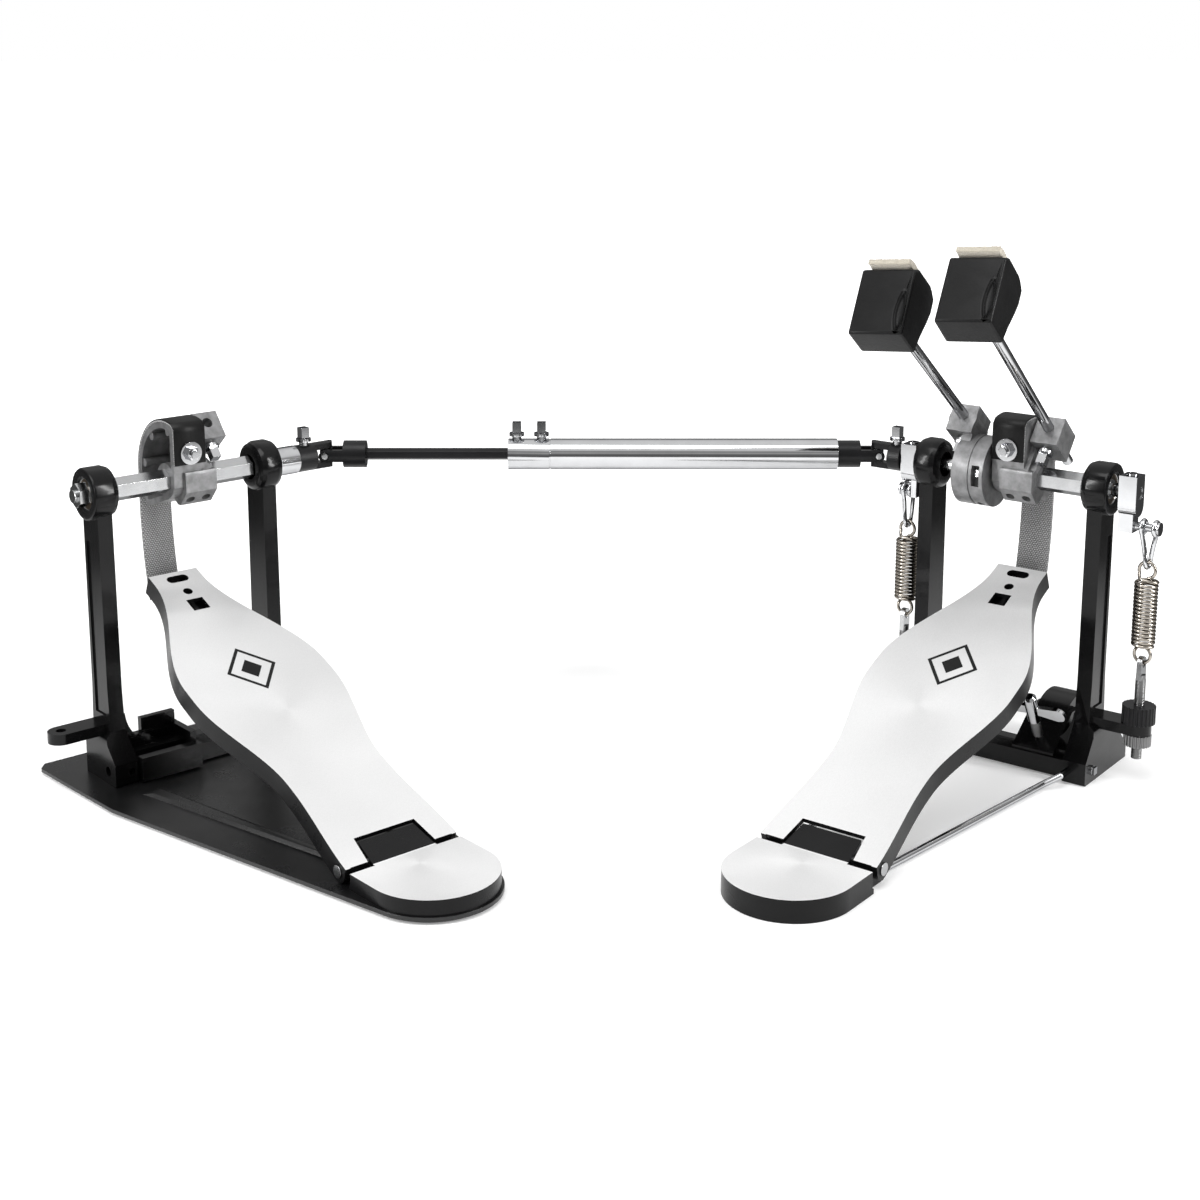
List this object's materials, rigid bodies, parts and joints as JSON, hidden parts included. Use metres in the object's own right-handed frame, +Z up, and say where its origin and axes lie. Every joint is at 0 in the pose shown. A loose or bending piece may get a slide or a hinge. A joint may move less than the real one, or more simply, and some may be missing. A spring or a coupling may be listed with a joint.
{
  "type": "double bass drum pedal",
  "caption": "Double bass drum pedal: strap-driven main pedal with two beaters, slave pedal on a base plate, joined by a telescopic shaft with universal joints.",
  "frame": {"origin": "on the floor under the middle of the whole object's bounding box", "axes": "+X from the slave pedal to the main pedal along the drive shaft, +Y towards the bass drum, +Z up"},
  "size_m": [0.6796, 0.3142, 0.3308],
  "materials": {
    "gloss_casting": "gloss black powder coat",
    "black_plate": "satin black powder coat",
    "board_alloy": "brushed, with black enamelled skirts",
    "cast_alloy": "bead-blasted casting",
    "chrome": "polished chrome plate",
    "steel": "bright turned steel",
    "spring_steel": "nickel-plated spring wire",
    "black_oxide": "satin black oxide",
    "strap_web": "woven webbing, smooth black outside",
    "head_plastic": "satin black plastic",
    "felt": "dense cream felt",
    "pad_rubber": "matt black rubber"
  },
  "bodies": {
    "main_base": {"main_frame": "gloss_casting", "main_bearings": "steel", "main_heel_plate": "board_alloy", "main_hinge_pin": "steel", "radius_rod": "chrome", "foot_screws": "chrome", "outer_stud": "steel", "inner_stud": "steel"},
    "main_board": {"main_footboard": "board_alloy"},
    "main_shaft": {"main_axle": "steel", "main_cam": "cast_alloy", "main_cam_bolt": "chrome", "main_strap": "strap_web", "right_clamp_bolt": "chrome", "outer_crank": "chrome"},
    "right_beater": {"right_beater_rod": "chrome"},
    "right_head": {"right_beater_head": "head_plastic", "right_beater_felt": "felt"},
    "outer_pull": {"outer_link": "chrome", "outer_spring": "spring_steel"},
    "outer_end": {"outer_hook": "spring_steel"},
    "hub": {"stub_shaft": "steel", "inner_crank": "chrome", "hub_drum": "cast_alloy", "hub_cap": "cast_alloy", "left_clamp_bolt": "chrome", "hub_yoke": "black_oxide", "hub_yoke_bolt": "chrome"},
    "left_beater": {"left_beater_rod": "chrome"},
    "left_head": {"left_beater_head": "head_plastic", "left_beater_felt": "felt"},
    "inner_pull": {"inner_link": "chrome", "inner_spring": "spring_steel"},
    "inner_end": {"inner_hook": "spring_steel"},
    "main_spider": {"main_cross": "steel"},
    "tube": {"drive_tube": "chrome", "tube_bolts": "chrome", "tube_yoke": "black_oxide"},
    "slave_base": {"slave_base_plate": "black_plate", "slave_base_pad": "pad_rubber", "slave_frame": "gloss_casting", "slave_heel_plate": "board_alloy", "slave_bearings": "steel", "slave_hinge_pin": "steel"},
    "slave_board": {"slave_footboard": "board_alloy"},
    "slave_shaft": {"slave_axle": "steel", "slave_cam": "cast_alloy", "slave_cam_bolt": "chrome", "slave_strap": "strap_web", "slave_clamp_bolt": "chrome", "slave_collar": "chrome", "slave_yoke": "black_oxide", "slave_yoke_bolt": "chrome"},
    "slave_spider": {"slave_cross": "steel"},
    "rod": {"rod_yoke": "black_oxide", "drive_rod": "black_oxide"},
    "outer_nut": {"outer_top_nut": "black_oxide"},
    "inner_nut": {"inner_top_nut": "black_oxide"},
    "rocker": {"hoop_clamp": "gloss_casting"},
    "wing": {"wing_bolt": "chrome"}
  },
  "joints": [
    {"name": "main_axle_turn", "type": "hinge", "parent": "main_base", "child": "main_shaft", "pos_m": [0.2609, 0.08354, 0.18], "axis": [-0.7923, 0.6101, 0], "range_deg": [0, 45], "stiffness_Nm_per_rad": 1.5, "springref_deg": -8.59, "deforming": ["main_strap"]},
    {"name": "main_board_turn", "type": "hinge", "parent": "main_base", "child": "main_board", "pos_m": [0.12624, -0.09133, 0.01055], "axis": [-0.7923, 0.6101, 0], "range_deg": [0, 6.92]},
    {"name": "outer_link_swing", "type": "hinge", "parent": "main_shaft", "child": "outer_pull", "pos_m": [0.32983, 0.03045, 0.16], "axis": [-0.7923, 0.6101, 0], "range_deg": [-60, 0]},
    {"name": "outer_spring_stretch", "type": "slide", "parent": "outer_pull", "child": "outer_end", "axis": [0, 0, -1], "range_m": [0, 0.009], "deforming": ["outer_spring"]},
    {"name": "right_beater_slide", "type": "slide", "parent": "main_shaft", "child": "right_beater", "axis": [-0.4674, -0.6069, 0.6428], "range_m": [-0.012, 0.02]},
    {"name": "right_head_turn", "type": "hinge", "parent": "right_beater", "child": "right_head", "pos_m": [0.21831, -0.00455, 0.293], "axis": [-0.4674, -0.6069, 0.6428], "range_deg": [-180, 180]},
    {"name": "slave_axle_turn", "type": "hinge", "parent": "slave_base", "child": "slave_shaft", "pos_m": [-0.2525, 0.0737, 0.18], "axis": [-0.7536, -0.6574, 0], "range_deg": [0, 45], "stiffness_Nm_per_rad": 1.5, "springref_deg": -8.59, "deforming": ["slave_strap"]},
    {"name": "slave_board_turn", "type": "hinge", "parent": "slave_base", "child": "slave_board", "pos_m": [-0.10741, -0.09262, 0.01055], "axis": [-0.7536, -0.6574, 0], "range_deg": [0, 6.92]},
    {"name": "slave_cross_swing", "type": "hinge", "parent": "slave_shaft", "child": "slave_spider", "pos_m": [-0.17338, 0.14272, 0.18], "axis": [0, 0, 1], "range_deg": [-1, 9]},
    {"name": "shaft_telescope", "type": "slide", "parent": "main_base", "child": "slave_base", "axis": [1, 0, 0], "range_m": [-0.08, 0.02]},
    {"name": "rod_turn", "type": "hinge", "parent": "slave_base", "child": "rod", "pos_m": [-0.17338, 0.14272, 0.18], "axis": [-1, 0, 0], "range_deg": [0, 45]},
    {"name": "tube_turn", "type": "hinge", "parent": "main_base", "child": "tube", "pos_m": [0.18405, 0.14272, 0.18], "axis": [-1, 0, 0], "range_deg": [0, 45]},
    {"name": "hub_turn", "type": "hinge", "parent": "main_base", "child": "hub", "pos_m": [0.2609, 0.08354, 0.18], "axis": [-0.7923, 0.6101, 0], "range_deg": [0, 45]},
    {"name": "main_cross_swing", "type": "hinge", "parent": "hub", "child": "main_spider", "pos_m": [0.18405, 0.14272, 0.18], "axis": [0, 0, 1], "range_deg": [-9, 1]},
    {"name": "inner_link_swing", "type": "hinge", "parent": "hub", "child": "inner_pull", "pos_m": [0.20306, 0.12808, 0.16], "axis": [-0.7923, 0.6101, 0], "range_deg": [-60, 0]},
    {"name": "inner_spring_stretch", "type": "slide", "parent": "inner_pull", "child": "inner_end", "axis": [0, 0, -1], "range_m": [0, 0.009], "deforming": ["inner_spring"]},
    {"name": "left_beater_slide", "type": "slide", "parent": "hub", "child": "left_beater", "axis": [-0.4873, -0.6328, 0.6018], "range_m": [-0.012, 0.02]},
    {"name": "left_head_turn", "type": "hinge", "parent": "left_beater", "child": "left_head", "pos_m": [0.17559, 0.03012, 0.28242], "axis": [-0.4873, -0.6328, 0.6018], "range_deg": [-180, 180]},
    {"name": "outer_nut_turn", "type": "hinge", "parent": "main_base", "child": "outer_nut", "pos_m": [0.32983, 0.03045, 0.044], "axis": [0, 0, 1], "continuous": true},
    {"name": "inner_nut_turn", "type": "hinge", "parent": "main_base", "child": "inner_nut", "pos_m": [0.20306, 0.12808, 0.044], "axis": [0, 0, 1], "continuous": true},
    {"name": "rocker_turn", "type": "hinge", "parent": "main_base", "child": "rocker", "pos_m": [0.2912, 0.07535, 0.024], "axis": [-0.7923, 0.6101, 0], "range_deg": [-3, 7]},
    {"name": "wing_bolt_turn", "type": "hinge", "parent": "main_base", "child": "wing", "pos_m": [0.27747, 0.05752, 0.017], "axis": [-0.2958, -0.3841, 0.8746], "continuous": true}
  ],
  "couplings": [
    {"joint": "main_board_turn", "follows": "main_axle_turn", "ratio": 0.1471},
    {"joint": "outer_link_swing", "follows": "main_axle_turn", "ratio": -1.209},
    {"joint": "outer_spring_stretch", "follows": "main_axle_turn", "m_per_rad": 0.0076},
    {"joint": "slave_board_turn", "follows": "slave_axle_turn", "ratio": 0.1471},
    {"joint": "slave_cross_swing", "follows": "slave_axle_turn", "ratio": 0.17},
    {"joint": "rod_turn", "follows": "slave_axle_turn", "ratio": 0.8},
    {"joint": "tube_turn", "follows": "slave_axle_turn", "ratio": 0.8},
    {"joint": "hub_turn", "follows": "slave_axle_turn", "ratio": 0.955},
    {"joint": "main_cross_swing", "follows": "slave_axle_turn", "ratio": -0.153},
    {"joint": "inner_link_swing", "follows": "slave_axle_turn", "ratio": -1.1546},
    {"joint": "inner_spring_stretch", "follows": "slave_axle_turn", "m_per_rad": 0.0073}
  ]
}
